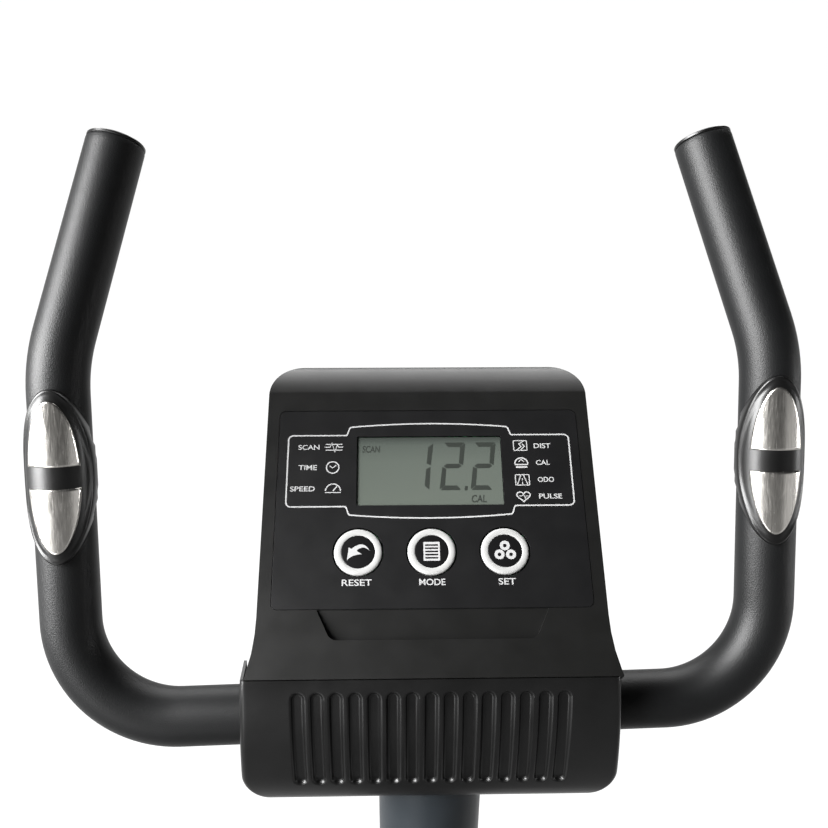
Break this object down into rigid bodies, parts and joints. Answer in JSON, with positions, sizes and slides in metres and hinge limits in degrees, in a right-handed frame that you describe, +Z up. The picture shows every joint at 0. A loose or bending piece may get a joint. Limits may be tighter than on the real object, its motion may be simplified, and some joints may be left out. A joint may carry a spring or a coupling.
{
  "type": "exercise bike",
  "caption": "Upright magnetic exercise bike with a battery console, a foam-covered multi-grip handlebar with pulse contacts, an adjustable saddle and strapped pedals.",
  "frame": {"origin": "on the floor, at the middle of the base", "axes": "+X to the rider's right, +Y forwards, the way the rider faces, +Z up"},
  "size_m": [0.4746, 0.992, 1.2759],
  "materials": {
    "black_steel": "satin black powder coat",
    "grey_steel": "dark blue-grey powder coat",
    "bare_steel": "brushed or plated steel",
    "black_plastic": "satin moulded plastic",
    "panel": "printed panel film",
    "foam": "matt closed-cell foam",
    "rubber": "matt rubber",
    "white_plastic": "white button ring, black middle",
    "lcd": "grey-green liquid crystal display",
    "board": "glass-fibre circuit board",
    "cast_iron": "machined cast iron",
    "vinyl": "black textured vinyl over foam"
  },
  "bodies": {
    "frame": {"main_frame": "black_steel", "rear_stabiliser": "black_steel", "front_stabiliser": "black_steel", "rear_cap_left": "black_plastic", "rear_cap_right": "black_plastic", "front_cap_left": "black_plastic", "front_cap_right": "black_plastic", "casing_left": "black_plastic", "casing_right": "black_plastic", "seat_tube_bush": "black_plastic", "drive_belt": "rubber", "handlebar_post": "grey_steel", "bar_clamp_cap": "bare_steel", "console_bracket": "bare_steel", "clamp_cover_front": "black_plastic", "clamp_cover_rear": "black_plastic", "console_front_case": "black_plastic", "console_back_case": "black_plastic", "panel_overlay": "panel", "lcd_screen": "lcd", "circuit_board": "board", "battery_door": "black_plastic"},
    "crank": {"crank_axle": "bare_steel", "drive_pulley": "black_plastic", "crank_right": "black_steel", "crank_left": "black_steel"},
    "pedal_right": {"pedal_right": "black_plastic", "pedal_strap_right": "rubber"},
    "pedal_left": {"pedal_left": "black_plastic", "pedal_strap_left": "rubber"},
    "flywheel": {"flywheel": "cast_iron", "flywheel_axle": "bare_steel"},
    "magnet_carrier": {"magnet_carrier": "bare_steel"},
    "tension_knob": {"tension_knob": "black_plastic"},
    "handlebar": {"handlebar": "black_steel", "grip_foam_right": "foam", "bar_end_cap_right": "black_plastic", "sensor_housing_right": "black_plastic", "upper_contact_right": "bare_steel", "lower_contact_right": "bare_steel", "grip_foam_left": "foam", "bar_end_cap_left": "black_plastic", "sensor_housing_left": "black_plastic", "upper_contact_left": "bare_steel", "lower_contact_left": "bare_steel"},
    "clamp_knob": {"clamp_knob": "black_plastic"},
    "seat_post": {"seat_post": "bare_steel"},
    "seat_height_knob": {"seat_height_knob": "black_plastic"},
    "saddle": {"saddle_rail": "black_steel", "saddle_base": "black_plastic", "saddle_pad": "vinyl"},
    "saddle_slide_knob": {"saddle_slide_knob": "black_plastic"},
    "reset_button": {"reset_button": "white_plastic"},
    "mode_button": {"mode_button": "white_plastic"},
    "set_button": {"set_button": "white_plastic"},
    "wheel_right": {"transport_wheel_right": "rubber"},
    "wheel_left": {"transport_wheel_left": "rubber"}
  },
  "joints": [
    {"name": "crank_spin", "type": "hinge", "parent": "frame", "child": "crank", "pos_m": [0, -0.02, 0.3], "axis": [-1, 0, 0], "continuous": true},
    {"name": "pedal_right_spin", "type": "hinge", "parent": "crank", "child": "pedal_right", "pos_m": [0.136, 0.12954, 0.36973], "axis": [-1, 0, 0], "continuous": true},
    {"name": "pedal_left_spin", "type": "hinge", "parent": "crank", "child": "pedal_left", "pos_m": [-0.136, -0.16954, 0.23027], "axis": [-1, 0, 0], "continuous": true},
    {"name": "flywheel_spin", "type": "hinge", "parent": "frame", "child": "flywheel", "pos_m": [0, 0.165, 0.29], "axis": [-1, 0, 0], "continuous": true},
    {"name": "tension_turn", "type": "hinge", "parent": "frame", "child": "tension_knob", "pos_m": [0, 0.27997, 0.64], "axis": [0, -1, 0], "range_deg": [0, 270]},
    {"name": "magnet_swing", "type": "hinge", "parent": "frame", "child": "magnet_carrier", "pos_m": [-0.036, 0.046, 0.16], "axis": [1, 0, 0], "range_deg": [-5, 0]},
    {"name": "handlebar_tilt", "type": "hinge", "parent": "frame", "child": "handlebar", "pos_m": [0, 0.28, 0.97], "axis": [0.9993, 0.0379, 0], "range_deg": [-12, 12]},
    {"name": "clamp_knob_turn", "type": "hinge", "parent": "frame", "child": "clamp_knob", "pos_m": [0, 0.3375, 0.947], "axis": [0, 1, 0], "continuous": true},
    {"name": "seat_height", "type": "slide", "parent": "frame", "child": "seat_post", "axis": [0, -0.2756, 0.9613], "range_m": [-0.105, 0.035]},
    {"name": "seat_height_knob_turn", "type": "hinge", "parent": "frame", "child": "seat_height_knob", "pos_m": [0, -0.21695, 0.47297], "axis": [0, 0.9613, 0.2756], "continuous": true},
    {"name": "saddle_slide", "type": "slide", "parent": "seat_post", "child": "saddle", "axis": [0, 1, 0], "range_m": [-0.045, 0.045]},
    {"name": "saddle_slide_knob_turn", "type": "hinge", "parent": "seat_post", "child": "saddle_slide_knob", "pos_m": [0.03, -0.28622, 0.82122], "axis": [1, 0, 0], "continuous": true},
    {"name": "reset_press", "type": "slide", "parent": "frame", "child": "reset_button", "axis": [0, 0.6361, -0.7716], "range_m": [0, 0.001], "stiffness_N_per_m": 600},
    {"name": "mode_press", "type": "slide", "parent": "frame", "child": "mode_button", "axis": [0, 0.6361, -0.7716], "range_m": [0, 0.001], "stiffness_N_per_m": 600},
    {"name": "set_press", "type": "slide", "parent": "frame", "child": "set_button", "axis": [0, 0.6361, -0.7716], "range_m": [0, 0.001], "stiffness_N_per_m": 600},
    {"name": "wheel_right_spin", "type": "hinge", "parent": "frame", "child": "wheel_right", "pos_m": [0.2136, 0.472, 0.028], "axis": [1, 0, 0], "continuous": true},
    {"name": "wheel_left_spin", "type": "hinge", "parent": "frame", "child": "wheel_left", "pos_m": [-0.2136, 0.472, 0.028], "axis": [1, 0, 0], "continuous": true}
  ],
  "couplings": [
    {"joint": "flywheel_spin", "follows": "crank_spin", "ratio": 5.5},
    {"joint": "magnet_swing", "follows": "tension_turn", "ratio": -0.018519}
  ]
}
